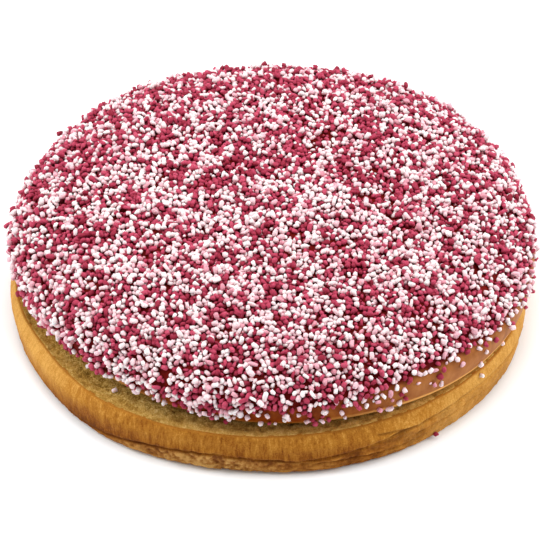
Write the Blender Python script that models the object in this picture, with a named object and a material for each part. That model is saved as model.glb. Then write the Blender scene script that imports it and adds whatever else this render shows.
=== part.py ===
"""Sugared brioche cake: a round brioche bun split level, its domed lid resting on its base.

Metres, +Z up. The origin is the centre of the base's flat bottom. Both pieces are turned from a
profile and then made as uneven as a bun that rose in the oven. The lid sits a little off centre
and tilts, so the cut rim of the base shows in front and on the left.
"""

import math

import bmesh
import bpy

# The base: a low wall with a doughy foot, a crease above it and a rounded crest.
FLOOR_RADIUS = 0.1130
FOOT_BULGE = 0.0036
FOOT_HALF_HEIGHT = 0.0030
CREASE_RADIUS = 0.1152
CREASE_HEIGHT = 0.0074
BELLY_RADIUS = 0.1175
BELLY_HEIGHT = 0.0130
CREST_RADIUS = 0.1158
CREST_HEIGHT = 0.0194
BASE_CENTRE = (0.0, -0.0006)

# The cut face of the base climbs from the crest to a level seat, which tilts with the lid.
SEAT_RADIUS = 0.0980
SEAT_HEIGHT = 0.0227
SEAT_SLOPE_X = -0.0102
SEAT_SLOPE_Y = 0.0168
SEAT_GAP = 0.0003

# The lid: a flattened dome whose skin curls under to a thin lip.
LID_RADIUS = 0.1204
LID_WIDEST_HEIGHT = 0.0336
DOME_RISE = 0.0308
DOME_SQUARENESS = 2.33
CURL_DEPTH = 0.0086
CURL_INSET = 0.0071
CURL_SQUARENESS = 2.35
LIP_THICKNESS = 0.0012
LID_SEAT_RADIUS = 0.0900
LID_CENTRE = (0.0026, 0.0065)

# Slow waves round each rim: how many, how deep as a share of the radius, and where one crests.
BASE_WAVES = ((2, 0.0032, 70), (3, 0.0031, -40), (4, 0.0035, 39), (5, 0.0022, 30), (7, 0.0044, -22))
LID_WAVES = ((2, 0.0055, -72), (3, 0.0095, 54), (4, 0.0041, -42), (5, 0.0061, -20), (6, 0.0023, 11))

SEGMENTS = 96
DOME_STEPS = 13
ARC_STEPS = 5
FACE_STEPS = 4
MERGE_DISTANCE = 0.00001

BASE_COLOUR = (0.55, 0.30, 0.08, 1.0)
LID_COLOUR = (0.60, 0.22, 0.26, 1.0)


def clear_scene():
    """Remove whatever the scene holds."""
    for item in list(bpy.data.objects):
        bpy.data.objects.remove(item, do_unlink=True)


def principled(name, colour, roughness):
    """A plain material with one colour and one roughness."""
    material = bpy.data.materials.new(name)
    material.use_nodes = True
    shader = material.node_tree.nodes["Principled BSDF"]
    shader.inputs["Base Color"].default_value = colour
    shader.inputs["Roughness"].default_value = roughness
    shader.inputs["Metallic"].default_value = 0.0
    return material


def arc(centre_radius, centre_height, reach, rise, start, end, steps=ARC_STEPS):
    """Points on an upright elliptical arc, from one angle in degrees to another."""
    points = []
    for step in range(steps + 1):
        angle = math.radians(start + (end - start) * step / steps)
        points.append((centre_radius + reach * math.cos(angle), centre_height + rise * math.sin(angle)))
    return points


def squared_arc(centre_radius, centre_height, reach, rise, squareness, steps):
    """A quarter turn from the widest point to the highest, fuller than an ellipse."""
    power = 2.0 / squareness
    points = []
    for step in range(steps):
        angle = math.pi / 2 * step / steps
        points.append((centre_radius + reach * math.cos(angle) ** power,
                       centre_height + rise * math.sin(angle) ** power))
    return points + [(centre_radius, centre_height + rise)]


def smooth(share):
    """A soft step from 0 to 1."""
    share = min(max(share, 0.0), 1.0)
    return share * share * (3.0 - 2.0 * share)


def climb(radius):
    """How far the cut face has climbed from crest to seat at a radius, from 0 to 1."""
    return smooth((CREST_RADIUS - radius) / (CREST_RADIUS - SEAT_RADIUS))


def seat_tilt(x, y):
    """Height that the tilt of the seat adds at a place."""
    return SEAT_SLOPE_X * x + SEAT_SLOPE_Y * y


def base_profile():
    """The base's outline from the middle of its floor, up its side and over its cut face."""
    points = [(0.0, 0.0), (FLOOR_RADIUS * 0.6, 0.0)]
    points += arc(FLOOR_RADIUS, FOOT_HALF_HEIGHT, FOOT_BULGE, FOOT_HALF_HEIGHT, -90, 50)
    points.append((CREASE_RADIUS, CREASE_HEIGHT))
    points += arc(CREST_RADIUS, BELLY_HEIGHT, BELLY_RADIUS - CREST_RADIUS,
                  CREST_HEIGHT - BELLY_HEIGHT, -35, 90)
    for step in range(1, FACE_STEPS + 1):
        radius = CREST_RADIUS + (SEAT_RADIUS - CREST_RADIUS) * step / FACE_STEPS
        points.append((radius, CREST_HEIGHT + (SEAT_HEIGHT - CREST_HEIGHT) * climb(radius)))
    points += [(SEAT_RADIUS * 0.6, SEAT_HEIGHT), (0.0, SEAT_HEIGHT)]
    return points


def lid_profile():
    """The lid's outline from its crown, round its lip and back under to its middle."""
    lip_radius = LID_RADIUS - CURL_INSET
    points = squared_arc(0.0, LID_WIDEST_HEIGHT, LID_RADIUS, DOME_RISE, DOME_SQUARENESS, DOME_STEPS)[::-1]
    points += squared_arc(lip_radius, LID_WIDEST_HEIGHT, CURL_INSET, -CURL_DEPTH, CURL_SQUARENESS,
                          ARC_STEPS)[1:]
    lip_height = LID_WIDEST_HEIGHT - CURL_DEPTH
    seat = SEAT_HEIGHT + SEAT_GAP
    points.append((lip_radius - LIP_THICKNESS, lip_height + LIP_THICKNESS / 4))
    points.append(((lip_radius + LID_SEAT_RADIUS) / 2, (lip_height + seat) / 2))
    points += [(LID_SEAT_RADIUS, seat), (LID_SEAT_RADIUS * 0.6, seat), (0.0, seat)]
    return points


def turn(profile):
    """Spin a profile round +Z into one closed mesh that faces outwards."""
    shape = bmesh.new()
    line = [shape.verts.new((radius, 0.0, height)) for radius, height in profile]
    edges = [shape.edges.new(pair) for pair in zip(line, line[1:])]
    bmesh.ops.spin(shape, geom=line + edges, cent=(0, 0, 0), axis=(0, 0, 1),
                   angle=math.tau, steps=SEGMENTS, use_merge=True)
    bmesh.ops.remove_doubles(shape, verts=shape.verts, dist=MERGE_DISTANCE)
    bmesh.ops.recalc_face_normals(shape, faces=shape.faces)
    return shape


def make_uneven(shape, waves, centre):
    """Push the rim in and out by its waves, and move the piece to its centre."""
    for vert in shape.verts:
        angle = math.atan2(vert.co.y, vert.co.x)
        factor = 1.0
        for count, depth, crest in waves:
            factor += depth * math.cos(count * (angle - math.radians(crest)))
        vert.co.x = vert.co.x * factor + centre[0]
        vert.co.y = vert.co.y * factor + centre[1]


def tilt_cut_face(shape):
    """Tilt the seat on top of the base, and leave the crest level."""
    for vert in shape.verts:
        if vert.co.z > BELLY_HEIGHT:
            radius = math.hypot(vert.co.x - BASE_CENTRE[0], vert.co.y - BASE_CENTRE[1])
            vert.co.z += climb(radius) * seat_tilt(vert.co.x, vert.co.y)


def tilt_lid(shape):
    """Tilt the whole lid, so that it lies flat on the seat."""
    for vert in shape.verts:
        vert.co.z += seat_tilt(vert.co.x, vert.co.y)


def place(shape, name, material):
    """Make an object of a finished shape."""
    mesh = bpy.data.meshes.new(name)
    shape.to_mesh(mesh)
    shape.free()
    mesh.shade_smooth()
    mesh.materials.append(material)
    piece = bpy.data.objects.new(name, mesh)
    bpy.context.scene.collection.objects.link(piece)
    return piece


def make_base():
    """The lower half of the bun."""
    shape = turn(base_profile())
    make_uneven(shape, BASE_WAVES, BASE_CENTRE)
    tilt_cut_face(shape)
    return place(shape, "brioche_base", principled("baked_side", BASE_COLOUR, 0.7))


def make_lid():
    """The domed upper half, with the thickness of its sugar coat in its outline."""
    shape = turn(lid_profile())
    make_uneven(shape, LID_WAVES, LID_CENTRE)
    tilt_lid(shape)
    return place(shape, "brioche_lid", principled("sugared_top", LID_COLOUR, 0.5))


clear_scene()
make_base()
make_lid()
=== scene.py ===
# %% [markdown]
# A sugared brioche cake
#
# A flat round brioche was baked, glazed, covered with white and rose sugar nibs, and split level.
# The lid rests on the base again, a little off centre, so the cut rim of the base shows. This lesson
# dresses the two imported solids: it makes the bread finely enough to show skin, creases and crumb,
# and lays over fourteen thousand nibs on the lid one after another, each where it comes to rest.

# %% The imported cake
import math

import bmesh
import bpy
import numpy as np
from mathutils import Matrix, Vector, noise
from mathutils.bvhtree import BVHTree


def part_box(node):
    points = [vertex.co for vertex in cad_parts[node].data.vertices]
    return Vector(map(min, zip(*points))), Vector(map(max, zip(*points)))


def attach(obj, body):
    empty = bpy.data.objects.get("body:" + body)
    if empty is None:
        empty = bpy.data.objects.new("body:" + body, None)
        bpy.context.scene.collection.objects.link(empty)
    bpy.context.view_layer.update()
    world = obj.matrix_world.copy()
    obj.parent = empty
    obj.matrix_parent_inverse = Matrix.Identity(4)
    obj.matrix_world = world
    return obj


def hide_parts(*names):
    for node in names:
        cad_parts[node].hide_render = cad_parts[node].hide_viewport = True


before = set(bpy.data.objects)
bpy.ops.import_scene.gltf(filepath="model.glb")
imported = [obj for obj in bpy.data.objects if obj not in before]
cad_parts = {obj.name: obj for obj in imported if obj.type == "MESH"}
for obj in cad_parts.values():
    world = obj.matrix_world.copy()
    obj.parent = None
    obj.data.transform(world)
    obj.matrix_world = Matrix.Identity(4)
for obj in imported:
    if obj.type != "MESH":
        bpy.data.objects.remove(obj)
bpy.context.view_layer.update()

MM = 0.001
base_low, base_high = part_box("brioche_base")
lid_low, lid_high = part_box("brioche_lid")
print("base", [round(side / MM) for side in base_high - base_low], "mm")
print("lid", [round(side / MM) for side in lid_high - lid_low], "mm")

# %% [markdown]
# The camera stands in front and looks down on the cake, far off with a long lens, as for a shop's
# catalogue. It could be turned by hand until the cake fits. Here an elevation and a distance place
# it, so that the angle can be read and changed in one line.

# %% Camera
VIEW_ELEVATION = math.radians(38.95)
VIEW_DISTANCE = 0.9213
VIEW_CENTRE = Vector((0.0, -0.0024, 0.0171))
VIEW_LENS = 135.1


def set_camera():
    """A camera in front of the cake, looking down on it."""
    camera = bpy.data.objects.new("camera", bpy.data.cameras.new("camera"))
    backwards = Vector((0.0, -math.cos(VIEW_ELEVATION), math.sin(VIEW_ELEVATION)))
    camera.location = VIEW_CENTRE + backwards * VIEW_DISTANCE
    camera.rotation_euler = backwards.to_track_quat("Z", "Y").to_euler()
    camera.data.lens = VIEW_LENS
    camera.data.sensor_width = 36.0
    camera.data.clip_end = 20.0
    bpy.context.scene.collection.objects.link(camera)
    bpy.context.scene.camera = camera


set_camera()
print("camera", round(math.degrees(VIEW_ELEVATION)), "degrees above the table")

# %% [markdown]
# Soft light matters more than strong light on sugar: each nib is a small white or rose lump, and
# only its shaded side separates it from the next. One wide lamp hangs over the cake, two stand close
# at its sides, and a dim pale surround fills what they leave. The sides of the bread then shine more
# than its front, and the table shows no more than a short shadow. The colours are shown plainly,
# with no film curve over them.

# %% Light and table
def hang_lamp(name, place, size, power):
    """A square soft lamp that points at the cake."""
    lamp = bpy.data.lights.new(name, "AREA")
    lamp.shape = "SQUARE"
    lamp.size = size
    lamp.energy = power
    holder = bpy.data.objects.new(name, lamp)
    holder.location = place
    holder.rotation_euler = Vector(place).to_track_quat("Z", "Y").to_euler()
    bpy.context.scene.collection.objects.link(holder)


def set_surround(strength):
    """A pale, even surround."""
    world = bpy.data.worlds.new("surround")
    world.use_nodes = True
    world.node_tree.nodes["Background"].inputs["Color"].default_value = (1.0, 1.0, 1.0, 1.0)
    world.node_tree.nodes["Background"].inputs["Strength"].default_value = strength
    bpy.context.scene.world = world


set_surround(0.5)
hang_lamp("overhead", (0.0, 0.0, 1.3), 0.7, 10.0)
hang_lamp("left_side", (-0.9, 0.0, 0.6), 0.6, 6.2)
hang_lamp("right_side", (0.9, 0.0, 0.6), 0.6, 6.6)
bpy.context.scene.view_settings.view_transform = "Standard"

# %% [markdown]
# A material is a small sum of patterns. Written node by node it is long and hard to read, so a
# socket is wrapped in a class that knows plus, minus and times: each adds one Math node. Any other
# node comes from one method, which sets the node up first and then joins its sockets.

# %% Sums of sockets
class Wire:
    """One output socket, which can be added, multiplied and compared like a number."""

    def __init__(self, recipe, socket):
        self.recipe = recipe
        self.socket = socket

    def maths(self, operation, *others):
        """This wire and others through a Math node."""
        return self.recipe.node("ShaderNodeMath", {"operation": operation}, self, *others)

    def __add__(self, other):
        return self.maths("ADD", other)

    def __mul__(self, other):
        return self.maths("MULTIPLY", other)

    def __sub__(self, other):
        return self.maths("SUBTRACT", other)

    def __rsub__(self, other):
        return self.recipe.node("ShaderNodeMath", {"operation": "SUBTRACT"}, other, self)

    __radd__ = __add__
    __rmul__ = __mul__

    def between(self, low, high):
        """0 up to low, 1 from high on, and an even climb between them."""
        settings = {"clamp": True}
        return self.recipe.node("ShaderNodeMapRange", settings, self, low, high, 0.0, 1.0)


class Recipe:
    """A material under construction, with its Principled shader."""

    def __init__(self, name):
        self.material = bpy.data.materials.new(name)
        self.material.use_nodes = True
        self.tree = self.material.node_tree
        self.shader = self.tree.nodes["Principled BSDF"]

    def join(self, socket, value):
        """Link a wire to a socket, or set the socket to a plain value."""
        if isinstance(value, Wire):
            self.tree.links.new(value.socket, socket)
        else:
            socket.default_value = value

    def node(self, kind, settings, *values, out=0, **named):
        """Add a node: its settings first, then its sockets in order and by name."""
        node = self.tree.nodes.new(kind)
        for key, value in settings.items():
            if key == "stops":
                self.set_stops(node.color_ramp, value)
            else:
                setattr(node, key, value)
        for socket, value in zip(node.inputs, values):
            self.join(socket, value)
        for key, value in named.items():
            self.join(node.inputs[key.replace("_", " ")], value)
        return Wire(self, node.outputs[out])

    def set_stops(self, ramp, stops):
        """Give a colour ramp its places and colours."""
        while len(ramp.elements) < len(stops):
            ramp.elements.new(1.0)
        for element, (place, colour) in zip(ramp.elements, stops):
            element.position = place
            element.color = colour

    def ramp(self, wire, *stops):
        """Turn a number into a colour."""
        return self.node("ShaderNodeValToRGB", {"stops": stops}, wire)

    def blend(self, share, first, second, way="MIX"):
        """Mix two colours."""
        node = self.tree.nodes.new("ShaderNodeMix")
        node.data_type = "RGBA"
        node.blend_type = way
        colour_sockets = [socket for socket in node.inputs if socket.type == "RGBA"]
        self.join(node.inputs[0], share)
        self.join(colour_sockets[0], first)
        self.join(colour_sockets[1], second)
        result = next(socket for socket in node.outputs if socket.type == "RGBA")
        return Wire(self, result)

    def place(self):
        """Where a point is on its object."""
        return self.node("ShaderNodeTexCoord", {}, out=3)

    def stretched(self, scale):
        """The place on the object, with its three directions scaled."""
        return self.node("ShaderNodeMapping", {}, self.place(), Scale=scale)

    def cloud(self, size, detail=2.0, scale=(1.0, 1.0, 1.0), roughness=0.5):
        """Soft noise between about 0.25 and 0.75, with lumps of a size in metres."""
        return self.node("ShaderNodeTexNoise", {}, Vector=self.stretched(scale), Scale=1.0 / size,
                         Detail=detail, Roughness=roughness)

    def painted(self, name):
        """A number that was painted on the points of the mesh."""
        return self.node("ShaderNodeAttribute", {"attribute_name": name}, out=2)

    def finish(self, colour, roughness, height, depth, coat=0.0, coat_roughness=0.2, gloss=0.5):
        """Join colour, roughness and relief to the shader."""
        self.join(self.shader.inputs["Base Color"], colour)
        self.join(self.shader.inputs["Roughness"], roughness)
        self.join(self.shader.inputs["Coat Weight"], coat)
        self.shader.inputs["Coat Roughness"].default_value = coat_roughness
        self.shader.inputs["Specular IOR Level"].default_value = gloss
        bump = self.node("ShaderNodeBump", {}, Strength=1.0, Distance=depth, Height=height)
        self.join(self.shader.inputs["Normal"], bump)
        return self.material


def shade(red, green, blue):
    """A colour as seen on a screen, in 0 to 255, as the linear colour that shaders use."""
    linear = []
    for value in (red, green, blue):
        share = value / 255
        linear.append(share / 12.92 if share <= 0.04045 else ((share + 0.055) / 1.055) ** 2.4)
    return (*linear, 1.0)


# %% [markdown]
# The table is only there to catch a shadow. A plain plane with a faint mottle is enough: a real
# sheet of paper isn't perfectly even either.

# %% The table
def lay_table():
    """A wide pale table under the cake."""
    sheet = bmesh.new()
    bmesh.ops.create_grid(sheet, x_segments=1, y_segments=1, size=4.0)
    mesh = bpy.data.meshes.new("table")
    sheet.to_mesh(mesh)
    sheet.free()
    table = bpy.data.objects.new("table", mesh)
    bpy.context.scene.collection.objects.link(table)
    recipe = Recipe("table_paper")
    mottle = recipe.cloud(0.08)
    colour = recipe.ramp(mottle, (0.3, shade(246, 249, 251)), (0.7, shade(249, 252, 253)))
    mesh.materials.append(recipe.finish(colour, 0.9, mottle, 0.00005, gloss=0.1))


lay_table()

# %% [markdown]
# Both halves are turned shapes, but a bun rises unevenly, so their rims wander by a millimetre or
# two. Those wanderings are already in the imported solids. They are measured there: the widest point
# in each of many sectors round the rim, smoothed by keeping only the slow waves. The fine meshes
# made below then follow the solids all round.

# %% Measuring the rims
SECTORS = 96
SLOW_WAVES = 9


class Rim:
    """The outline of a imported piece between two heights, as a smooth function of the angle."""

    def __init__(self, node, low, high):
        points = points_of(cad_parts[node].data)
        band = points[(points[:, 2] > low) & (points[:, 2] < high)]
        self.centre = (band.min(0) + band.max(0))[:2] / 2
        across = band[:, :2] - self.centre
        sector = np.round(np.arctan2(across[:, 1], across[:, 0]) / math.tau * SECTORS)
        widest = np.zeros(SECTORS)
        np.maximum.at(widest, sector.astype(int) % SECTORS, np.hypot(across[:, 0], across[:, 1]))
        self.waves = np.fft.rfft(widest)[:SLOW_WAVES] / SECTORS
        self.radius = self.waves[0].real

    def factor(self, angle):
        """How far the rim reaches at an angle, as a share of its mean radius."""
        total = np.ones_like(angle)
        for count in range(1, SLOW_WAVES):
            total += 2 * (self.waves[count] * np.exp(1j * count * angle)).real / self.radius
        return total


def points_of(mesh):
    """The points of a mesh as an array."""
    places = np.empty(len(mesh.vertices) * 3)
    mesh.vertices.foreach_get("co", places)
    return places.reshape(-1, 3)


def seat_plane():
    """Height, slope along X and slope along Y of the seat that the lid rests on."""
    points = points_of(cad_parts["brioche_base"].data)
    distance = np.hypot(points[:, 0], points[:, 1])
    inner = points[(distance < 0.7 * base_rim.radius) & (points[:, 2] > 15 * MM)]
    sums = np.column_stack([np.ones(len(inner)), inner[:, 0], inner[:, 1]])
    return np.linalg.lstsq(sums, inner[:, 2], rcond=None)[0]


BELLY_HEIGHT = 13 * MM
base_rim = Rim("brioche_base", BELLY_HEIGHT - 2 * MM, BELLY_HEIGHT + 2 * MM)
lid_rim = Rim("brioche_lid", 30.4 * MM, 36.9 * MM)
SEAT_HEIGHT, SEAT_SLOPE_X, SEAT_SLOPE_Y = seat_plane()
print("base rim", round(base_rim.radius / MM, 1), "lid rim", round(lid_rim.radius / MM, 1), "mm")
print("seat at", round(SEAT_HEIGHT / MM, 1), "mm, slopes", round(SEAT_SLOPE_X, 4), round(SEAT_SLOPE_Y, 4))

# %% [markdown]
# Bread is soft all over and rough in places, at every size at once. The rough parts are made by
# moving the points of a fine mesh with smooth noise: large slow lumps, small fast ones, and noise
# that is stretched so that it turns into upright strokes. Sculpting by hand would look as good, but
# only a formula gives the same cake each time.

# %% Turning and roughing
def lumps(points, size, scale=(1.0, 1.0, 1.0), shift=0.0):
    """Smooth noise from about -1 to 1 at each point, with lumps of a size in metres."""
    placed = points * np.array(scale) / size + shift
    return np.array([noise.noise(place) for place in placed.tolist()])


def soft_step(value, low, high):
    """0 up to low, 1 from high on, and a smooth climb between them."""
    share = np.clip((value - low) / (high - low), 0.0, 1.0)
    return share * share * (3.0 - 2.0 * share)


def ridge(value, middle, width):
    """A smooth bump of height 1 that fades over a width."""
    return np.exp(-((value - middle) / width) ** 2)


def bend(centre, reach, start, end, steps=24):
    """Points on an upright elliptical arc about a centre, from one angle in degrees to another."""
    points = []
    for step in range(steps + 1):
        angle = math.radians(start + (end - start) * step / steps)
        points.append((centre[0] + reach[0] * math.cos(angle), centre[1] + reach[1] * math.sin(angle)))
    return points


def evenly(outline, spacing):
    """The same outline with points at an even spacing along it."""
    corners = np.array(outline)
    track = np.append(0.0, np.cumsum(np.hypot(*np.diff(corners, axis=0).T)))
    steps = np.linspace(0.0, track[-1], max(2, round(track[-1] / spacing) + 1))
    return list(zip(np.interp(steps, track, corners[:, 0]), np.interp(steps, track, corners[:, 1])))


WEDGES = 20


def turned(name, outline, turns):
    """A closed mesh from an outline of radius and height. One wedge is spun, then repeated round."""
    form = bmesh.new()
    line = [form.verts.new((radius, 0.0, height)) for radius, height in outline]
    edges = [form.edges.new(pair) for pair in zip(line, line[1:])]
    wedge = math.tau / WEDGES
    bmesh.ops.spin(form, geom=line + edges, cent=(0, 0, 0), axis=(0, 0, 1),
                   angle=wedge, steps=turns // WEDGES)
    whole = form.verts[:] + form.edges[:] + form.faces[:]
    bmesh.ops.spin(form, geom=whole, cent=(0, 0, 0), axis=(0, 0, 1),
                   angle=math.tau - wedge, steps=WEDGES - 1, use_duplicate=True)
    bmesh.ops.remove_doubles(form, verts=form.verts, dist=0.01 * MM)
    bmesh.ops.recalc_face_normals(form, faces=form.faces)
    mesh = bpy.data.meshes.new(name)
    form.to_mesh(mesh)
    form.free()
    mesh.shade_smooth()
    return mesh


def move_points(mesh, points):
    """Put the points of a mesh in new places."""
    mesh.vertices.foreach_set("co", points.ravel())
    mesh.update()


def paint(mesh, name, values):
    """Store a number on each point of a mesh for its material."""
    mesh.attributes.new(name, "FLOAT", "POINT").data.foreach_set("value", values)


def serve(mesh, material, node=None):
    """Make a piece of a finished mesh, and let it ride on the cake's one body."""
    mesh.materials.append(material)
    piece = bpy.data.objects.new(mesh.name, mesh)
    bpy.context.scene.collection.objects.link(piece)
    if node:
        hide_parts(node)
    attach(piece, "root")
    print(piece.name, sum(len(face.vertices) - 2 for face in mesh.polygons), "triangles")
    return piece


# %% [markdown]
# The base stood in a ring while it baked, so its side is a wall: a rough foot where dough crept
# under the ring, a crease above the foot, and a round crest on top. The crease is the line that
# gives a baked wall its character, so it is a path of its own, given by its height at a few
# angles. On the right it climbs and leaves smaller folds under it. Angles count from the right side
# of the cake, and -90 degrees is the front.

# %% Creases in the wall
FLOOR_RADIUS = 113 * MM
CREST_RADIUS = 116.0 * MM
CREST_HEIGHT = 19.7 * MM
CREASE_PATH = ((-150, 1.2), (-130, 2.2), (-122, 4.4), (-115, 7.2), (-108, 8.4), (-102, 9.4), (-96, 9.1),
               (-90, 8.0), (-84, 7.4), (-76, 8.6), (-70, 10.4), (-64, 12.4), (-57, 13.0), (-46, 14.4),
               (-36, 14.0), (-20, 11.0), (0, 8.0), (40, 6.8), (80, 7.6), (110, 5.5), (140, 7.4),
               (170, 4.0), (195, 2.2), (210, 1.2))
FOLD_PATHS = (
    ((-92, 7.4), (-80, 5.8), (-70, 5.4), (-58, 4.6), (-48, 6.0)),
    ((-69, 15.2), (-65, 14.6), (-61, 13.4), (-57, 12.6)),
    ((-62, 8.4), (-54, 8.8), (-44, 9.4), (-34, 8.0)),
    ((20, 8.2), (34, 10.4), (50, 11.0), (62, 9.8)),
    ((118, 9.0), (130, 10.8), (146, 9.6)),
)
FOOT_LEDGE = ((-150, 0.2), (-132, 0.45), (-122, 0.6), (-113, 0.85), (-106, 1.0), (-97, 1.0), (-91, 0.8),
              (-85, 0.5), (-62, 0.35), (-45, 0.15), (0, 0.2), (60, 0.7), (120, 0.4), (170, 0.5), (210, 0.2))
# How much browner the wall is made at each angle, most at the front.
BROWN_BY_ANGLE = ((-150, 0.12), (-141, 0.27), (-133, 0.6), (-126, 0.9), (-118, 1.0), (-95, 1.1), (-80, 1.05),
         (-72, 1.0), (-66, 0.87), (-60, 0.74), (-54, 0.52), (-47, 0.2), (-36, 0.24), (0, 0.2), (60, 0.5),
         (120, 0.7), (180, 0.25), (210, 0.15))
TOASTED = ((-150, 0.45), (-141, 0.64), (-133, 0.7), (-122, 0.6), (-110, 0.42), (-90, 0.42), (-76, 0.46),
           (-68, 0.26), (-63, -0.04), (-54, -0.24), (-46, -0.04), (-40, 0.04), (0, 0.1), (60, 0.3),
           (120, 0.4), (180, 0.4), (210, 0.45))
CREST_INSET = ((-150, 2.4), (-143, 2.0), (-136, 1.6), (-128, 0.6), (-120, 0.9), (-110, 0.1), (-92, 0.2),
               (-84, 1.3), (-67, 1.9), (-57, 1.2), (-46, 0.8), (-36, 0.5), (-20, 0.4), (60, 1.4), (120, 1.2),
               (180, 1.8), (192, 1.2), (200, 1.4), (210, 2.4))


def by_angle(table, angle):
    """The value that a table gives for each angle, read between its lines."""
    turns, values = np.array(table).T
    return np.interp(np.degrees(angle), turns, values)


def wrapped(angle):
    """Angles from -150 to 210 degrees, so that each crease lies in one stretch."""
    return np.radians((np.degrees(angle) + 150) % 360 - 150)


def along_fold(path, angle):
    """1 along the middle of a fold, fading to 0 at its ends."""
    first, last = math.radians(path[0][0]), math.radians(path[-1][0])
    fade = 0.25 * (last - first)
    return soft_step(angle, first, first + fade) * (1 - soft_step(angle, last - fade, last))


# %% [markdown]
# The wall's points move in and out only, and each kind of unevenness is one line: the crease and
# its folds cut in, the foot steps out and is torn and lumpy, upright strokes run over the wall
# where the skin stretched, and slow swells keep the outline from looking drawn with a compass. How
# brown each point is gets painted at the same time, because foot and strokes brown differently.
# The crease and its folds are painted darker as painted shade, and the foot darker in its hollows
# and lighter on its ridges as painted shade and painted light.

# %% The base's skin
WALL_ROW = 0.42 * MM
WALL_TURNS = 1100
CRUMB_EDGE_RADIUS = 114.6 * MM
SKIN_TUCK = 1.2 * MM
CREST_BAND = 2.6 * MM


def skin_outline():
    """Half a section through the skin of the base, from under its middle to inside its top."""
    floor_edge = FLOOR_RADIUS + 0.8 * MM
    side = [(FLOOR_RADIUS, 0.0)]
    side += bend((floor_edge, 2.2 * MM), (2.2 * MM, 2.2 * MM), -90, 0)
    side += bend((CREST_RADIUS, BELLY_HEIGHT),
                 (base_rim.radius - CREST_RADIUS, CREST_HEIGHT - BELLY_HEIGHT), -40, 90)
    side.append((CRUMB_EDGE_RADIUS, CREST_HEIGHT + 0.1 * MM))
    hidden = CREST_HEIGHT - SKIN_TUCK
    inside = [(CRUMB_EDGE_RADIUS - 0.6 * MM, hidden), (CRUMB_EDGE_RADIUS - 4 * MM, hidden), (0.0, hidden)]
    floor = [(0.0, 0.0), (FLOOR_RADIUS * 0.5, 0.0), (FLOOR_RADIUS * 0.9, 0.0)]
    return floor + evenly(side, WALL_ROW) + inside


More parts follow.
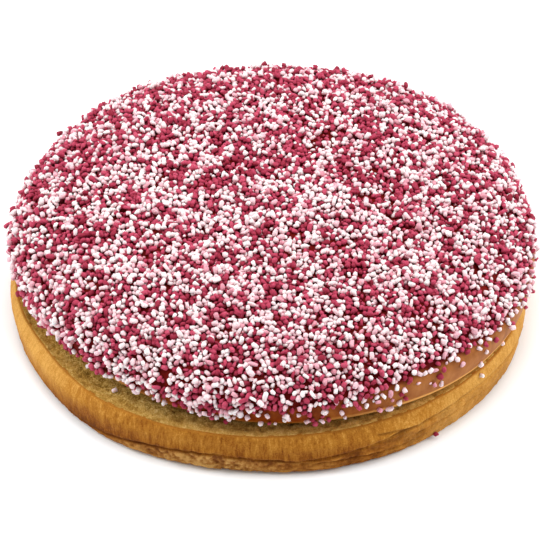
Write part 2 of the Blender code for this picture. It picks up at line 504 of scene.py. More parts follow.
def shape_skin(mesh):
    """Roughen the turned wall, and paint how brown it is."""
    points = points_of(mesh)
    angle = wrapped(np.arctan2(points[:, 1], points[:, 0]))
    radius = np.hypot(points[:, 0], points[:, 1])
    height = points[:, 2].copy()
    low_side = soft_step(radius, FLOOR_RADIUS - 1.3 * MM, FLOOR_RADIUS + 1.0 * MM)
    high_side = soft_step(radius, CREST_RADIUS - 2.0 * MM, CREST_RADIUS - 0.2 * MM)
    side = np.where(height < BELLY_HEIGHT, low_side, high_side) * soft_step(height, -1.0 * MM, 1.2 * MM)
    from_crumb = np.hypot(radius - CRUMB_EDGE_RADIUS, height - CREST_HEIGHT)
    inset = by_angle(CREST_INSET, angle) * soft_step(height, BELLY_HEIGHT, CREST_HEIGHT)

    ledge = by_angle(FOOT_LEDGE, angle)
    wander = lumps(points, 9 * MM, (1, 1, 0.0)) * 0.5 * MM
    wander += lumps(points, 3 * MM, (1, 1, 0.0), 7) * (0.25 + 0.5 * ledge) * MM
    crease_height = by_angle(CREASE_PATH, angle) * MM + wander
    below = height - crease_height
    crease_depth = np.clip(0.7 + 0.6 * lumps(points, 8 * MM, shift=31), 0.15, 1.1)
    crease = ridge(below, 0.0, 0.65 * MM) * crease_depth * soft_step(crease_height, 1.5 * MM, 4.5 * MM)
    folds = np.zeros_like(height)
    for path in FOLD_PATHS:
        strength = along_fold(path, angle)
        above = height - wander - by_angle(path, angle) * MM
        folds += strength * (ridge(above, 0.0, 0.65 * MM) - 0.45 * ridge(above, 1.5 * MM, 1.0 * MM))

    foot = soft_step(-below, 0.1 * MM, 0.9 * MM)
    torn = lumps(points, 6 * MM, (1, 1, 0.8), 3) * 0.8 + lumps(points, 2.6 * MM, (1, 1, 1.3), 11) * 0.5
    fine = lumps(points, 0.9 * MM, shift=5)
    shreds = lumps(points, 1.5 * MM, (1, 1, 0.8), 15) * ledge
    strokes = lumps(points, 1.1 * MM, (1, 1, 0.16), 19)
    broad_strokes = lumps(points, 3.4 * MM, (1, 1, 0.22), 23)
    swell = lumps(points, 26 * MM, (1, 1, 0.5), 40)

    outward = 0.35 * swell - 1.0 * crease - 1.0 * folds + 0.3 * ridge(below, 1.8 * MM, 1.3 * MM)
    outward += foot * (0.2 + 0.5 * ledge + (0.4 + 0.9 * ledge) * torn + 0.8 * shreds)
    outward += 0.12 * fine * (0.4 + foot)
    outward += (1 - foot) * (0.11 * strokes + 0.09 * broad_strokes)
    radius = radius + (side * outward - np.where(radius > CREST_RADIUS - 2.5 * MM, inset, 0.0)) * MM
    crest_wave = lumps(points, 16 * MM, (1, 1, 0), 50) * 0.45
    crest_wave = crest_wave + lumps(points, 5 * MM, (1, 1, 0), 52) * 0.15
    height = height + soft_step(height, 12 * MM, 19 * MM) * crest_wave * MM

    reach = base_rim.factor(angle)
    points[:, 0] = radius * reach * np.cos(angle) + base_rim.centre[0]
    points[:, 1] = radius * reach * np.sin(angle) + base_rim.centre[1]
    lifted = foot * side * np.clip(0.4 * torn + 0.6 * shreds, 0, 1)
    lifted = lifted * soft_step(-height, -2.5 * MM, -0.2 * MM)
    points[:, 2] = np.maximum(height + lifted * 1.5 * MM, 0.0)
    move_points(mesh, points)
    # The crease and fold mask also drives painted shade: the skin's material darkens the wall along it.
    paint(mesh, "crease", np.clip(crease * 1.2 + folds * 0.7, 0, 1))
    paint(mesh, "foot", foot)
    paint(mesh, "ledge", foot * ledge)
    # Painted shade and light: the foot is coloured darker in its hollows and lighter on its ridges.
    paint(mesh, "hollow", np.clip(0.5 - 0.7 * torn - 0.4 * shreds - 0.3 * fine, 0, 1))
    paint(mesh, "strokes", 0.5 + 0.5 * np.clip(strokes * 1.6 + broad_strokes * 0.5, -1, 1))
    paint(mesh, "baked", by_angle(BROWN_BY_ANGLE, angle))
    paint(mesh, "toasted", by_angle(TOASTED, angle))
    paint(mesh, "inward", np.clip(1 - from_crumb / CREST_BAND, 0, 1))


skin_mesh = turned("base_skin", skin_outline(), WALL_TURNS)
shape_skin(skin_mesh)

# %% [markdown]
# Baked skin isn't one brown. It is gold where it is thin and stretched, orange along the crest
# where it met the hot air, and mottled on the foot. The crease is painted nearly black as painted
# shade, and the foot darker in its hollows and lighter on its ridges as painted shade and painted
# light. Each of those painted places turns a ramp or blends a colour in, and small noise breaks
# every edge.

# %% Baked skin
GOLD = shade(214, 161, 80)
HONEY = shade(180, 120, 39)
TOAST = shade(136, 76, 9)
UMBER = shade(104, 52, 3)
# Painted shade for the crease and its folds.
CREASE_SHADE = shade(76, 32, 2)


def baked_skin():
    """Golden skin with upright strokes, browner below and at the front, with painted shade in creases."""
    recipe = Recipe("baked_skin")
    height = recipe.node("ShaderNodeSeparateXYZ", {}, recipe.place(), out=2)
    strokes = recipe.cloud(0.8 * MM, 3.0, (1.0, 1.0, 0.22), 0.65)
    patches = recipe.cloud(9 * MM, 3.0, (1.0, 1.0, 0.6))
    speckle = recipe.cloud(0.6 * MM, 3.0, roughness=0.7)
    low = 1 - height.between(2 * MM, 15 * MM)
    baked = recipe.painted("baked")
    brown = baked * 0.42 + low * recipe.painted("toasted") + (patches - 0.5) * 0.45 + (speckle - 0.5) * 0.8
    upright = (strokes - 0.5) * 0.7 - (recipe.painted("strokes") - 0.5) * 0.3
    brown = brown + upright * (baked * 0.8 + 0.35) + 0.06
    colour = recipe.ramp(brown, (0.0, GOLD), (0.35, HONEY), (0.75, TOAST), (1.0, UMBER))
    foot = recipe.painted("foot")
    # Painted shade and light on the foot, darker in its hollows and lighter on its ridges, broken by
    # speckle.
    hollow = recipe.painted("hollow") + (speckle - 0.5) * 0.6
    torn = recipe.ramp(hollow, (0.2, shade(180, 118, 44)), (0.5, shade(144, 84, 20)), (0.85, UMBER))
    colour = recipe.blend(foot * (baked * 0.6 + 0.2), colour, torn)
    pale = recipe.ramp(hollow, (0.25, shade(196, 150, 84)), (0.55, shade(164, 110, 50)),
                       (0.9, shade(114, 62, 18)))
    colour = recipe.blend(recipe.painted("ledge").between(0.4, 1.0) * 0.85, colour, pale)
    inward = recipe.painted("inward")
    strip = recipe.ramp(speckle, (0.35, shade(140, 80, 16)), (0.65, shade(182, 126, 46)))
    colour = recipe.blend((inward + (speckle - 0.5) * 0.3).between(0.3, 0.6) * 0.85, colour, strip)
    crease = recipe.painted("crease")
    # Painted shade: the wall is darkened nearly black along the crease and its folds.
    colour = recipe.blend(crease.between(0.3, 1.0) * (baked * 0.35 + 0.35), colour, CREASE_SHADE)
    relief = strokes * 0.5 + speckle
    return recipe.finish(colour, 0.75, relief, 0.28 * MM, gloss=0.12)


base_skin = serve(skin_mesh, baked_skin(), "brioche_base")

# %% [markdown]
# Where the bun was cut, its crumb shows: a felt of tiny torn bubbles, beige with a green-brown
# cast, matt and a little higher towards the middle where the knife met soft bread. A flat disc with
# a bumpy material would look like cork from the side, so the larger pores are dug into the mesh,
# and only the finest grain is left to the material.

# %% The cut face of the base
SEAT_RADIUS = 98 * MM
CRUMB_TURNS = 1000
CRUMB_ROW = 0.5 * MM
CRUMB_DEPTH = 3.0 * MM


def tilt_at(points):
    """How far the tilt of the seat lifts each point."""
    return SEAT_SLOPE_X * points[:, 0] + SEAT_SLOPE_Y * points[:, 1]


# Painted light on the crumb: how much lighter it is painted at each angle, most at the front and front
# right.
CRUMB_LIGHT_BY_ANGLE = ((-150, 0.0), (-116, 0.0), (-102, 0.4), (-92, 0.6), (-60, 0.6), (-48, 0.4), (-30, 0.4),
               (0, 0.2), (60, 0.0), (210, 0.0))


def crumb_outline():
    """Half a section through the layer of crumb on the base."""
    level = SEAT_HEIGHT
    edge = CRUMB_EDGE_RADIUS + 0.5 * MM
    face = evenly([(edge, level - CRUMB_DEPTH), (edge, level), (SEAT_RADIUS - 2 * MM, level)], CRUMB_ROW)
    inner = [(SEAT_RADIUS * share, level) for share in (0.9, 0.75, 0.5, 0.25, 0.0)]
    return [(0.0, level - CRUMB_DEPTH), (SEAT_RADIUS, level - CRUMB_DEPTH)] + face + inner


def pores(points, size, shift):
    """Deep in the middle of scattered pits, 0 between them."""
    return np.clip(lumps(points, size, shift=shift) - 0.12, 0, 1) * 2.2


def shape_crumb(mesh):
    """Sink the rim of the crumb to the crest, tilt its seat and dig its pores."""
    points = points_of(mesh)
    angle = wrapped(np.arctan2(points[:, 1], points[:, 0]))
    radius = np.hypot(points[:, 0], points[:, 1])
    climb = 1 - soft_step(radius, SEAT_RADIUS, CRUMB_EDGE_RADIUS + 0.5 * MM)
    top = points[:, 2] > SEAT_HEIGHT - 0.01 * MM
    reach = base_rim.factor(angle)
    spread = radius - (1 - climb) * by_angle(CREST_INSET, angle) * MM
    points[:, 0] = spread * reach * np.cos(angle) + base_rim.centre[0]
    points[:, 1] = spread * reach * np.sin(angle) + base_rim.centre[1]
    rough = lumps(points, 5 * MM, shift=2) * 0.45 + lumps(points, 1.9 * MM, shift=9) * 0.25
    rough -= 0.45 * pores(points, 3.0 * MM, 60) + 0.35 * pores(points, 1.5 * MM, 70)
    open_face = soft_step(radius, SEAT_RADIUS - 6 * MM, SEAT_RADIUS)
    edge_height = CREST_HEIGHT + 0.35 * MM
    points[:, 2] += (1 - climb) * (edge_height - SEAT_HEIGHT) + climb * tilt_at(points)
    points[:, 2] += top * open_face * rough * MM
    points[:, 2] -= top * (1 - open_face) * 0.15 * MM
    move_points(mesh, points)
    # Painted shade: the crumb's colour is darker where this depth is greater, in its pores.
    paint(mesh, "depth", np.clip(0.5 - rough * 0.7, 0, 1))
    paint(mesh, "near_skin", soft_step(radius, SEAT_RADIUS + 2 * MM, CRUMB_EDGE_RADIUS))
    paint(mesh, "paler", by_angle(CRUMB_LIGHT_BY_ANGLE, angle) * soft_step(radius, SEAT_RADIUS, CRUMB_EDGE_RADIUS))


def bread_crumb():
    """Matt beige crumb, greener and darker in its pores as painted shade, painted lighter at the front edge.
    """
    recipe = Recipe("bread_crumb")
    grain = recipe.cloud(0.6 * MM, 3.0, roughness=0.7)
    cells = recipe.cloud(1.6 * MM, 2.0)
    patches = recipe.cloud(8 * MM, 2.0)
    depth = recipe.painted("depth")
    # Painted shade: deeper points in the pores get darker crumb colours.
    tone = depth * 0.6 + (grain - 0.5) * 1.7 + (cells - 0.5) * 0.9 + (patches - 0.5) * 0.4 + 0.13
    colour = recipe.ramp(tone, (0.0, shade(218, 192, 124)), (0.3, shade(186, 152, 80)),
                         (0.6, shade(140, 106, 42)), (1.0, shade(82, 54, 13)))
    lit_crumb_colour = recipe.ramp(tone, (0.0, shade(240, 202, 130)), (0.5, shade(212, 164, 88)),
                          (1.0, shade(150, 104, 40)))
    # Painted light: the crumb is blended lighter at the front, growing towards its outer edge.
    colour = recipe.blend(recipe.painted("paler"), colour, lit_crumb_colour)
    rim = recipe.painted("near_skin").between(0.7, 1.0)
    colour = recipe.blend(rim * 0.35, colour, shade(186, 138, 62))
    return recipe.finish(colour, 0.95, grain + cells * 0.6, 0.35 * MM, gloss=0.1)


crumb_material = bread_crumb()
crumb_mesh = turned("base_crumb", crumb_outline(), CRUMB_TURNS)
shape_crumb(crumb_mesh)
base_crumb = serve(crumb_mesh, crumb_material, "brioche_base")

# %% [markdown]
# The lid is a flattened dome whose skin curls under to a thin lip. Nibs will stick to this very
# surface, so it is written as one function of two numbers: the distance walked down from the crown
# and the angle. The mesh and the nibs both ask that function where they are, and so they can't
# come apart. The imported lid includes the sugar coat, so the bread under it is that much smaller,
# and swells out to the full size only where it is bare. At the left of the back the bun rose a
# little less, and its side is flatter there.

# %% The lid as a function
LID_WIDEST_HEIGHT = 33.6 * MM
SUGAR_COAT = 3.4 * MM
CROWN_HEIGHT = lid_high.z - SUGAR_COAT - 1.7 * MM
DOME_SQUARENESS = 2.42
CURL_DEPTH = 9.4 * MM
CURL_SQUARENESS = 2.35
LIP_RADIUS = lid_rim.radius - 7.1 * MM
LID_SKIN_RADIUS = lid_rim.radius - SUGAR_COAT
DOME_STEPS = 400
CURL_STEPS = 40
BARE_SWELL = ((-150, 0.4), (-120, 0.4), (-100, 0.7), (-75, 1.0), (-57, 1.6), (-25, 1.8), (-10, 1.6),
              (5, 1.0), (20, 0.4), (150, 0.2), (174, 0.8), (186, 0.8), (196, 0.3), (210, 0.4))
LID_FLAT_DEPTH = 3.0 * MM
LID_FLAT_ANGLE = math.radians(153)
LID_FLAT_WIDTH = math.radians(16)
LIP_DROOP = ((-150, 0.0), (-70, 0.0), (-56, 0.6), (-45, 1.0), (-30, 1.2), (-10, 0.8), (10, 0.0),
             (210, 0.0))


def quarter(reach, rise, squareness, steps):
    """A quarter of an oval that is fuller than an ellipse, from its widest point to its highest."""
    angle = np.linspace(0.0, math.pi / 2, steps)
    power = 2.0 / squareness
    return reach * np.clip(np.cos(angle), 0, 1) ** power, rise * np.sin(angle) ** power


def lid_section():
    """Distance from the crown, radius and height along the top of the lid, down to its lip."""
    rise = CROWN_HEIGHT - LID_WIDEST_HEIGHT
    radius, height = quarter(LID_SKIN_RADIUS, rise, DOME_SQUARENESS, DOME_STEPS)
    inset, drop = quarter(LID_SKIN_RADIUS - LIP_RADIUS, -CURL_DEPTH, CURL_SQUARENESS, CURL_STEPS)
    radius = np.append(radius[::-1], LIP_RADIUS + inset[1:])
    height = LID_WIDEST_HEIGHT + np.append(height[::-1], drop[1:])
    radius[0] = 0.0
    track = np.append(0.0, np.cumsum(np.hypot(np.diff(radius), np.diff(height))))
    return track, radius, height


LID_TRACK, LID_SECTION_RADIUS, LID_SECTION_HEIGHT = lid_section()
LIP_DISTANCE = LID_TRACK[-1]


def on_lid(radius, height, angle):
    """Where a point of the lid's section lies once its rim wanders and the lid tilts."""
    swollen = by_angle(BARE_SWELL, wrapped(angle)) * MM
    swollen *= 1 - soft_step(height, LID_WIDEST_HEIGHT + 2 * MM, LID_WIDEST_HEIGHT + 10 * MM)
    swollen -= LID_FLAT_DEPTH * ridge(wrapped(angle), LID_FLAT_ANGLE, LID_FLAT_WIDTH)
    swollen *= np.clip((radius - LIP_RADIUS) / (LID_SKIN_RADIUS - LIP_RADIUS), 0, 1)
    reach = (radius + swollen) * lid_rim.factor(angle)
    points = np.column_stack([reach * np.cos(angle), reach * np.sin(angle), height])
    points[:, :2] += lid_rim.centre
    points[:, 2] += tilt_at(points)
    droop = by_angle(LIP_DROOP, wrapped(angle)) * MM
    points[:, 2] -= droop * soft_step(LID_WIDEST_HEIGHT - height, 0.0, CURL_DEPTH)
    swell = lumps(points, 24 * MM, shift=80) * 0.45 + lumps(points, 9 * MM, shift=90) * 0.14
    outward = swell * MM * soft_step(height, 24 * MM, 30 * MM)
    points[:, 2] += outward
    return points


def lid_surface(distance, angle):
    """Where one comes on the lid by walking a distance down from the crown at an angle."""
    radius = np.interp(distance, LID_TRACK, LID_SECTION_RADIUS)
    height = np.interp(distance, LID_TRACK, LID_SECTION_HEIGHT)
    return on_lid(radius, height, angle)


print("from crown to lip", round(LIP_DISTANCE / MM, 1), "mm")

# %% [markdown]
# Sugar doesn't reach the lip. It stops at a wandering line: low at the left and the back, where the
# lid was rolled in the nibs, and high at the right of the front, where a band of bare glaze shines.
# The line is given by its distance from the lip at a few angles, and both the glaze and the nibs
# use it.

# %% Where the sugar ends
BARE_BAND = ((-150, 6.5), (-140, 5.5), (-128, 6.5), (-119, 7.2), (-108, 8.4), (-98, 9.8), (-92, 10.6),
             (-85, 11.8), (-75, 13.8), (-66, 15.2), (-61, 16.2), (-53, 16.6), (-42, 15.8), (-35, 14.6),
             (-15, 15.0), (0, 14.5), (15, 10.0), (40, 6.0), (90, 5.5), (150, 5.5), (174, 9.5), (186, 9.5),
             (194, 6.0), (210, 6.5))
STRAYS = ((-150, 0.08), (-126, 0.10), (-113, 0.28), (-95, 0.34), (-75, 0.26), (-62, 0.06), (-35, 0.02),
          (-20, 0.10), (0, 0.20), (40, 0.35), (210, 0.35))


def sugar_cover(distance, angle):
    """How thickly the sugar lies at each place, from 0 on bare glaze to 1 on the dome."""
    angle = wrapped(angle)
    around = np.column_stack([np.cos(angle), np.sin(angle), np.zeros_like(angle)]) * LID_SKIN_RADIUS
    bare = by_angle(BARE_BAND, angle) * MM
    bare += lumps(around, 8 * MM, shift=120) * 1.6 * MM + lumps(around, 3 * MM, shift=130) * 0.8 * MM
    above = LIP_DISTANCE - distance
    stray = by_angle(STRAYS, angle) * soft_step(above, -1.0 * MM, 0.6 * bare)
    return np.maximum(soft_step(above, bare - 2.0 * MM, bare + 2.5 * MM), stray)


# %% [markdown]
# The lid's skin is spun like the base's, from the crown to the lip, and closed underneath. Its
# points are found again by how far down they lie, and moved on to the function above. The glaze
# needs two painted numbers: how much sugar lies over it, where the glaze gets painted shade, and
# how near the lip is, where the egg wash ran thin and the crust stayed orange, and where a painted
# highlight runs along the lip's edge.

# %% The lid's skin
LID_TURNS = 480
LID_ROW = 1.1 * MM
LIP_THICKNESS = 1.1 * MM
AMBER = ((-150, 0.3), (-125, 0.6), (-110, 1.0), (-85, 1.0), (-70, 0.6), (-58, 0.1), (0, 0.0), (60, 0.6),
         (120, 0.8), (210, 0.3))


def lid_outline():
    """Half a section through the skin of the lid, and under it, in the section's own order."""
    top = evenly(list(zip(LID_SECTION_RADIUS, LID_SECTION_HEIGHT)), LID_ROW)
    lip_height = LID_WIDEST_HEIGHT - CURL_DEPTH
    under = [(LIP_RADIUS - LIP_THICKNESS * 0.5, lip_height + 0.1 * MM),
             (LIP_RADIUS - LIP_THICKNESS, lip_height + 0.5 * MM),
             (LIP_RADIUS - 2 * LIP_THICKNESS, lip_height + 1.8 * MM),
             (LIP_RADIUS - 8 * LIP_THICKNESS, lip_height + 2.0 * MM), (0.0, lip_height + 2.0 * MM)]
    return top + under


def shape_lid(mesh):
    """Move the turned lid on to its uneven surface, and paint sugar and lip on it."""
    points = points_of(mesh)
    angle = np.arctan2(points[:, 1], points[:, 0])
    radius = np.hypot(points[:, 0], points[:, 1])
    height = points[:, 2].copy()
    low = height < LID_WIDEST_HEIGHT
    curl_turn = np.arctan2(LID_WIDEST_HEIGHT - LID_SECTION_HEIGHT, LID_SECTION_RADIUS - LIP_RADIUS)
    turn = np.arctan2(LID_WIDEST_HEIGHT - height, radius - LIP_RADIUS)
    down = np.where(low, np.interp(turn, curl_turn[DOME_STEPS:], LID_TRACK[DOME_STEPS:]),
                    np.interp(radius, LID_SECTION_RADIUS[:DOME_STEPS], LID_TRACK[:DOME_STEPS]))
    move_points(mesh, on_lid(radius, height, angle))
    paint(mesh, "sugar", sugar_cover(down, angle))
    paint(mesh, "amber", by_angle(AMBER, wrapped(angle)))
    paint(mesh, "lip", soft_step(down, LIP_DISTANCE - 7 * MM, LIP_DISTANCE - 1.0 * MM))


def egg_glaze():
    """Satin egg glaze over brown crust, darker under the sugar as painted shade, and orange at the lip."""
    recipe = Recipe("egg_glaze")
    patches = recipe.cloud(7 * MM, 3.0)
    streaks = recipe.cloud(2.4 * MM, 3.0, (1.0, 1.0, 0.5))
    grain = recipe.cloud(0.5 * MM, 2.0)
    tone = (patches - 0.5) * 1.1 + (streaks - 0.5) * 0.6 + 0.5
    tan = recipe.ramp(tone, (0.15, shade(136, 80, 38)), (0.5, shade(160, 99, 50)),
                      (0.85, shade(178, 117, 65)))
    amber = recipe.ramp(tone, (0.15, shade(92, 26, 0)), (0.5, shade(120, 50, 2)),
                        (0.85, shade(146, 78, 6)))
    browner = recipe.painted("amber")
    colour = recipe.blend(browner, tan, amber)
    sugar = recipe.painted("sugar").between(0.15, 0.8)
    # Painted shade: the glaze is darkened to deep red where sugar lies over it, so the gaps between nibs
    # read dark.
    sugar_gap_shade = recipe.ramp(tone, (0.2, shade(82, 8, 8)), (0.8, shade(112, 20, 12)))
    colour = recipe.blend(sugar, colour, sugar_gap_shade)
    lip = recipe.painted("lip").between(0.3, 1.0)
    colour = recipe.blend(lip * 0.8, colour, shade(176, 108, 34))
    # Painted highlight: a light gold line along the lip's edge, left out where the glaze is browner.
    edge = recipe.painted("lip").between(0.1, 0.28) * (1 - browner)
    colour = recipe.blend(edge * 0.9, colour, shade(238, 176, 98))
    coat = (1 - sugar) * (1 - browner) * 0.08
    relief = grain * 0.6 + streaks
    return recipe.finish(colour, 0.5, relief, 0.15 * MM, coat=coat, coat_roughness=0.3, gloss=0.04)


lid_mesh = turned("lid_skin", lid_outline(), LID_TURNS)
shape_lid(lid_mesh)
lid_skin = serve(lid_mesh, egg_glaze(), "brioche_lid")

# %% [markdown]
# Under the lid is its own cut face. Little of it can be seen through the gap, but the lid would
# look hollow from below without it. It is the same crumb, turned as a flat layer that starts inside
# the lip and comes down to the seat.

# %% The cut face of the lid
LID_SEAT_RADIUS = 90 * MM
SEAT_GAP = 0.3 * MM


def lid_crumb_outline():
    """Half a section through the crumb under the lid."""
    lip_height = LID_WIDEST_HEIGHT - CURL_DEPTH
    edge = LIP_RADIUS - LIP_THICKNESS
    top = lip_height + 3.0 * MM
    seat = SEAT_HEIGHT + SEAT_GAP
    face = evenly([(edge, top), (edge, lip_height + 0.7 * MM), (LID_SEAT_RADIUS, seat)], 1.0 * MM)
    inner = [(LID_SEAT_RADIUS * share, seat) for share in (0.75, 0.4, 0.0)]
    return [(0.0, top), (LID_SEAT_RADIUS, top)] + face + inner


def shape_lid_crumb(mesh):
    """Tilt the crumb with the lid and roughen what isn't pressed on the seat."""
    points = points_of(mesh)
    angle = np.arctan2(points[:, 1], points[:, 0])
    radius = np.hypot(points[:, 0], points[:, 1])
    points[:, :2] *= lid_rim.factor(angle)[:, None]
    points[:, :2] += lid_rim.centre
    points[:, 2] += tilt_at(points)
    rough = lumps(points, 4 * MM, shift=200) * 0.3 + pores(points, 2.2 * MM, 210) * 0.4
    free = soft_step(radius, LID_SEAT_RADIUS, LID_SEAT_RADIUS + 6 * MM)
    points[:, 2] += free * np.maximum(rough, 0) * MM
    move_points(mesh, points)
    paint(mesh, "depth", np.clip(0.5 + rough * 0.5, 0, 1))
    paint(mesh, "near_skin", soft_step(radius, LIP_RADIUS - 4 * MM, LIP_RADIUS - 1 * MM))


lid_crumb_mesh = turned("lid_crumb", lid_crumb_outline(), LID_TURNS)
shape_lid_crumb(lid_crumb_mesh)
lid_crumb = serve(lid_crumb_mesh, crumb_material, "brioche_lid")

# %% [markdown]
# A sugar nib is a crumb of pressed sugar, two to three millimetres long: a lump with blunt corners,
# rounder or more like a grain of rice, with some broken bits among them. A few shapes of each are
# enough, because each nib is turned and sized at random. A nib starts as a cube cut once across
# each face and blown half up to a ball, which has 24 faces; it is dented and one end is thinner.
# A bit is a ball of 20 triangles, dented more.

# %% Shapes of nibs
NIB_SHAPES = 12
NIB_DENTS = 0.2
BIT_DENTS = 0.24


def dented(form, dents, dice):
    """Dent a small form, and hand over its points and faces."""
    taper = dice.uniform(-0.22, 0.22)
    for vert in form.verts:
        vert.co *= 1.0 + dice.uniform(-dents, dents)
        vert.co.y *= 1.0 + taper * vert.co.x
        vert.co.z *= 1.0 + taper * vert.co.x
    form.verts.index_update()
    points = np.array([vert.co[:] for vert in form.verts])
    faces = np.array([[vert.index for vert in face.verts] for face in form.faces])
    form.free()
    return points, faces


def nib_shape(dice):
    """Points and faces of one blunt nib of about unit radius."""
    form = bmesh.new()
    bmesh.ops.create_cube(form, size=2.0)
    bmesh.ops.subdivide_edges(form, edges=form.edges[:], cuts=1, use_grid_fill=True)
    for vert in form.verts:
        vert.co = vert.co.normalized() * 0.72 + vert.co * 0.25 / max(abs(axis) for axis in vert.co)
    return dented(form, NIB_DENTS, dice)


def bit_shape(dice):
    """Points and faces of one broken bit of about unit radius."""
    form = bmesh.new()
    bmesh.ops.create_icosphere(form, subdivisions=1, radius=1.0)
    return dented(form, BIT_DENTS, dice)


nib_dice = np.random.default_rng(41)
nib_forms = [nib_shape(nib_dice) for number in range(NIB_SHAPES)]
bit_forms = [bit_shape(nib_dice) for number in range(NIB_SHAPES)]
print(len(nib_forms[0][1]), "faces in a nib,", len(bit_forms[0][1]), "in a bit")

# %% [markdown]
# How do fourteen thousand nibs lie? A particle system would let them pierce each other, and a
# physics run would take hours. Here they are laid one by one on a height map of the lid, unrolled
# flat. A nib tries a few spots near where it fell, takes the lowest, leans as the ground there
# leans, and is set down until it touches, or pressed in if it would stand too high. Then its own
# top joins the map. That is quick, and gives the close, jumbled cover of real nibs, with small dark
# gaps down to the glaze.

# %% Laying the nibs
NIB_COUNT = 14500
CELL = 0.36 * MM
HALF_MAP = int((LIP_DISTANCE + 4 * MM) / CELL)
STENCIL = 6
TRIES = 12
SETTLE_REACH = 1.6 * MM
SINK = 0.54 * MM
STEEPEST = 1.3
HIGHEST = 3.3 * MM
RANDOM_LEAN = 0.7
LIP_MARGIN = 3.2 * MM
KINDS = ("round", "long", "bits")
KIND_SHARES = (0.44, 0.40, 0.16)
KIND_SIZES = np.array(((1.07, 0.93, 1.22), (1.55, 0.87, 1.09), (0.82, 0.72, 0.82))) * MM


def fall_places(dice, count):
    """Random places on the unrolled lid, as thick as the sugar should lie."""
    places = np.empty((0, 2))
    while len(places) < count:
        spots = dice.uniform(-LIP_DISTANCE, LIP_DISTANCE, (count * 2, 2))
        distance = np.hypot(spots[:, 0], spots[:, 1])
        inside = distance < LIP_DISTANCE - LIP_MARGIN
        spots, distance = spots[inside], distance[inside]
        narrowing = np.interp(distance, LID_TRACK, LID_SECTION_RADIUS) / np.maximum(distance, CELL)
        thickness = sugar_cover(distance, np.arctan2(spots[:, 1], spots[:, 0]))
        places = np.vstack([places, spots[dice.random(len(spots)) < thickness * narrowing]])
    return places[:count]


def lay_nibs(dice, count):
    """Lay nibs one by one. Returns place, height, heading, slopes and size of each."""
    ground = np.zeros((2 * HALF_MAP + 1, 2 * HALF_MAP + 1))
    steps = np.arange(-STENCIL, STENCIL + 1) * CELL
    across, along = np.meshgrid(steps, steps, indexing="ij")
    places = fall_places(dice, count)
    kinds = dice.choice(len(KINDS), count, p=KIND_SHARES)
    sizes = KIND_SIZES[kinds] * dice.normal(1.0, 0.12, (count, 3)).clip(0.7, 1.3)
    sizes *= dice.normal(1.0, 0.08, (count, 1)).clip(0.8, 1.2)
    headings = dice.uniform(0, math.tau, count)
    leans = dice.normal(0.0, RANDOM_LEAN, (count, 2))
    wanders = dice.normal(0.0, SETTLE_REACH, (count, TRIES, 2))
    wanders[:, 0] = 0.0
    laid = np.empty((count, 6))
    for number in range(count):
        spots = places[number] + wanders[number]
        spots *= np.minimum(1.0, (LIP_DISTANCE - LIP_MARGIN) / np.hypot(*spots.T))[:, None]
        cells = (spots / CELL).round().astype(int) + HALF_MAP
        cells = cells.clip(STENCIL, 2 * HALF_MAP - STENCIL)
        levels = [ground[row - 2:row + 3, column - 2:column + 3].mean() for row, column in cells]
        choice = int(np.argmin(levels))
        row, column = cells[choice]
        patch = ground[row - STENCIL:row + STENCIL + 1, column - STENCIL:column + STENCIL + 1]
        heading = headings[number]
        length, width, thickness = sizes[number]
        ahead = across * math.cos(heading) + along * math.sin(heading)
        aside = along * math.cos(heading) - across * math.sin(heading)
        share = (ahead / length) ** 2 + (aside / width) ** 2
        inside = share < 1
        ahead, aside, support = ahead[inside], aside[inside], patch[inside]
        slope_ahead = (support * ahead).sum() / (ahead * ahead).sum() + leans[number, 0]
        slope_aside = (support * aside).sum() / (aside * aside).sum() + leans[number, 1]
        slope_ahead = min(max(slope_ahead, -STEEPEST), STEEPEST)
        slope_aside = min(max(slope_aside, -STEEPEST), STEEPEST)
        lean = slope_ahead * ahead + slope_aside * aside
        dome = thickness * np.sqrt(1 - share[inside])
        level = min(np.partition(support - lean + dome, -3)[-3] - SINK, HIGHEST)
        patch[inside] = np.maximum(support, level + lean + dome)
        laid[number] = (*spots[choice], level, heading, slope_ahead, slope_aside)
    return laid, sizes, kinds, ground


lay_dice = np.random.default_rng(2025)
laid, nib_sizes, nib_kinds, sugar_ground = lay_nibs(lay_dice, NIB_COUNT)
print("highest nib centre", round(laid[:, 2].max() / MM, 2), "mm above the glaze")

# %% [markdown]
# The flat map is rolled back on to the lid. Each nib gets the lid's own directions at its place:
# down from the crown, round it, and straight out. Its heading and lean turn it within those.

# %% Back on to the lid
def unit(vectors):
    """Vectors at length 1."""
    return vectors / np.linalg.norm(vectors, axis=1)[:, None]


def stand_on_lid(laid):
    """Centre and three axes of each laid nib, in space."""
    distance = np.hypot(laid[:, 0], laid[:, 1]).clip(0.2 * MM, LIP_DISTANCE)
    angle = np.arctan2(laid[:, 1], laid[:, 0])
    step = 0.3 * MM
    here = lid_surface(distance, angle)
    downhill = unit(lid_surface(distance + step / 2, angle) - lid_surface(distance - step / 2, angle))
    around = unit(lid_surface(distance, angle + 0.004) - lid_surface(distance, angle - 0.004))
    outward = unit(np.cross(downhill, around))
    turn = (laid[:, 3] - angle)[:, None]
    ahead = downhill * np.cos(turn) + around * np.sin(turn)
    aside = around * np.cos(turn) - downhill * np.sin(turn)
    ahead = unit(ahead + laid[:, 4:5] * outward)
    aside = aside + laid[:, 5:6] * outward
    aside = unit(aside - (aside * ahead).sum(1)[:, None] * ahead)
    return here + outward * laid[:, 2:3], np.stack([ahead, aside, np.cross(ahead, aside)], axis=1)


nib_centres, nib_axes = stand_on_lid(laid)

# %% [markdown]
# A few nibs rolled off the lid and stayed on the rim, on the cut face and by the foot of the base.
# Each is dropped where it lies, by an angle and a distance from the middle; the one by the foot
# comes in from the side.

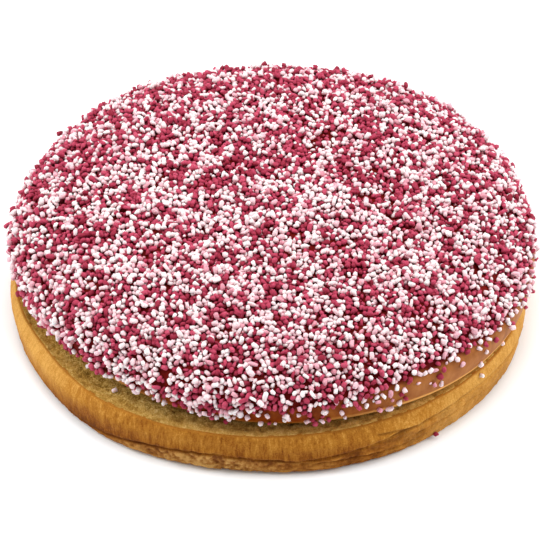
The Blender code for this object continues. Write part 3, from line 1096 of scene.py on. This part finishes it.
# %% Strays
DROPPED = ((-40.0, 117.0, True), (-126.5, 109.6, True), (24.0, 115.0, False), (158.0, 114.5, True),
           (96.0, 114.0, False))
FOOT_STRAY = (-53.6, 2.2 * MM)
drop_dice = np.random.default_rng(77)


def facets_of(pieces):
    """What a ray needs to hit the pieces of the base."""
    scene_now = bpy.context.evaluated_depsgraph_get()
    return [BVHTree.FromObject(piece, scene_now) for piece in pieces]


def first_hit(trees, start, direction):
    """Place and direction of the surface that a ray hits first."""
    hits = [tree.ray_cast(Vector(start), Vector(direction)) for tree in trees]
    hits = [hit for hit in hits if hit[0] is not None]
    place, normal = min(hits, key=lambda hit: hit[3])[:2]
    return np.array(place), np.array(normal)


def at_angle(angle, radius, height):
    """A place given by an angle in degrees, a distance from the middle and a height."""
    return radius * math.cos(math.radians(angle)), radius * math.sin(math.radians(angle)), height


def axes_on(normal, dice):
    """Three axes for something that lies on a surface and is turned at random."""
    ahead = np.cross(normal, dice.normal(size=3))
    ahead /= np.linalg.norm(ahead)
    return np.stack([ahead, np.cross(normal, ahead), normal])


base_facets = facets_of([base_skin, base_crumb])
landings = [first_hit(base_facets, at_angle(angle, radius * MM, 0.1), (0, 0, -1))
            for angle, radius, white in DROPPED]
foot_place = at_angle(FOOT_STRAY[0], 0.14, FOOT_STRAY[1])
landings.append(first_hit(base_facets, foot_place, (-foot_place[0], -foot_place[1], 0.0)))
stray_count = len(landings)
stray_sizes = KIND_SIZES[drop_dice.integers(0, 2, stray_count)] * 0.95
stray_lift = stray_sizes[:, 2] * 0.75
nib_centres = np.vstack([nib_centres, [place + normal * lift
                                       for (place, normal), lift in zip(landings, stray_lift)]])
nib_axes = np.concatenate([nib_axes, [axes_on(normal, drop_dice) for place, normal in landings]])
nib_sizes = np.vstack([nib_sizes, stray_sizes])
nib_kinds = np.append(nib_kinds, np.zeros(stray_count, int))
off_map = (HALF_MAP * CELL, HALF_MAP * CELL, 1.0, 0.0, 0.0, 0.0)
laid = np.vstack([laid, np.tile(off_map, (stray_count, 1))])
print(stray_count, "stray nibs")

# %% [markdown]
# White and rose nibs were mixed in a bowl, and not very well, so either colour comes in small
# drifts, and the last handful had more white ones. A few white ones took on some rose. Each nib
# also gets a number of its own, its tint, so that no two neighbours are quite the same colour.
# Each point is also told how deep it is sunk, and deep points are painted darker and pinker:
# painted shade, with painted rose light reflected from the nibs around them.

# %% White, rose and blush
DRIFT = 1.0
CHANCE = 0.75
LATE_WHITE = 0.32
WHITE_BIAS = -0.015
# Painted light: more white nibs towards the front make it brighter. Towards the right there are a few more
# white nibs as well.
WHITER_TO_FRONT = 0.14
WHITER_TO_RIGHT = 0.04
BLUSH_SHARE = 0.19
SUNK_FROM = -0.4 * MM
SUNK_DEPTH = 1.6 * MM
drifts = lumps(nib_centres, 4.2 * MM, (1.0, 0.65, 1.0), 300) * 0.8
drifts += lumps(nib_centres, 11 * MM, shift=310) * 0.2
all_nibs = len(nib_centres)
chance = nib_dice.random(all_nibs) - 0.5
late = np.linspace(-1.0, 1.0, all_nibs)
bias = WHITE_BIAS - WHITER_TO_FRONT * nib_centres[:, 1] / LID_SKIN_RADIUS
bias += WHITER_TO_RIGHT * nib_centres[:, 0] / LID_SKIN_RADIUS
is_white = DRIFT * drifts + CHANCE * chance + LATE_WHITE * late + bias > 0
is_blush = is_white & (nib_dice.random(all_nibs) < BLUSH_SHARE)
is_white[NIB_COUNT:] = [white for angle, radius, white in DROPPED] + [False]
is_blush[NIB_COUNT:] = False
nib_tint = nib_dice.random(all_nibs)
nib_form = nib_dice.integers(0, NIB_SHAPES, all_nibs)
print("white share", round(float(is_white.mean()), 2))


def levelled(ground):
    """The height map of the sugar, smoothed over the width of a nib."""
    shifts = range(-3, 4)
    return sum(np.roll(ground, (row, column), (0, 1)) for row in shifts for column in shifts) / 49


coat_level = levelled(sugar_ground)


def sunk(chosen, shapes):
    """How deep each point of some nibs lies in the sugar, from 0 at the top to 1."""
    across, along, height, heading, slope_ahead, slope_aside = laid[chosen].T[:, :, None]
    ahead, aside, up = np.moveaxis(shapes, 2, 0)
    row = (across + ahead * np.cos(heading) - aside * np.sin(heading)) / CELL + HALF_MAP
    column = (along + ahead * np.sin(heading) + aside * np.cos(heading)) / CELL + HALF_MAP
    cells = np.array([row, column]).round().astype(int).clip(0, 2 * HALF_MAP)
    height = height + up + slope_ahead * ahead + slope_aside * aside
    return soft_step(coat_level[cells[0], cells[1]] - height, SUNK_FROM, SUNK_FROM + SUNK_DEPTH)


def heap(name, chosen, forms, material):
    """One piece that holds every chosen nib."""
    shapes = np.array([points for points, faces in forms])[nib_form[chosen]]
    shapes = shapes * nib_sizes[chosen][:, None, :]
    points = np.einsum("npk,nkc->npc", shapes, nib_axes[chosen]) + nib_centres[chosen][:, None, :]
    count, corners = points.shape[:2]
    faces = forms[0][1][None] + np.arange(count)[:, None, None] * corners
    mesh = bpy.data.meshes.new(name)
    mesh.from_pydata(points.reshape(-1, 3).tolist(), [], faces.reshape(-1, faces.shape[2]).tolist())
    mesh.shade_smooth()
    paint(mesh, "tint", np.repeat(nib_tint[chosen], corners))
    paint(mesh, "sunk", sunk(chosen, shapes).ravel())
    print(count, name)
    return serve(mesh, material)


def nib_sugar(name, pale, middle, deep, sunk_shade_colour):
    """Dull pressed sugar, each nib with its own tint, painted darker and pinker where sunk, as painted
    shade.
    """
    recipe = Recipe(name)
    grain = recipe.cloud(0.35 * MM, 2.0)
    clods = recipe.cloud(0.9 * MM, 1.0)
    tone = recipe.painted("tint") * 0.9 + (grain - 0.5) * 0.25
    colour = recipe.ramp(tone, (0.0, pale), (0.45, middle), (0.9, deep))
    # Painted shade: points deep in the sugar blend towards a darker, pinker colour.
    colour = recipe.blend(recipe.painted("sunk") * 0.75, colour, sunk_shade_colour)
    recipe.shader.inputs["Subsurface Weight"].default_value = 0.4
    recipe.shader.inputs["Subsurface Radius"].default_value = (1.0, 0.55, 0.6)
    recipe.shader.inputs["Subsurface Scale"].default_value = 0.8 * MM
    return recipe.finish(colour, 0.6, grain * 0.4 + clods, 0.3 * MM, gloss=0.15)


white_sugar = nib_sugar("white_sugar", shade(249, 239, 238), shade(245, 228, 229), shade(236, 204, 209),
                        shade(208, 112, 128))
rose_sugar = nib_sugar("rose_sugar", shade(197, 82, 108), shade(176, 61, 87), shade(144, 37, 58),
                       shade(116, 19, 28))
blush_sugar = nib_sugar("blush_sugar", shade(238, 206, 212), shade(228, 178, 188), shade(216, 146, 160),
                        shade(190, 84, 102))

for kind, kind_name in enumerate(KINDS):
    shapes = bit_forms if kind_name == "bits" else nib_forms
    these = nib_kinds == kind
    heap("nibs_white_" + kind_name, these & is_white & ~is_blush, shapes, white_sugar)
    heap("nibs_rose_" + kind_name, these & ~is_white, shapes, rose_sugar)
heap("nibs_blush", is_blush & (nib_kinds < 2), nib_forms, blush_sugar)
heap("nibs_blush_bits", is_blush & (nib_kinds == 2), bit_forms, blush_sugar)
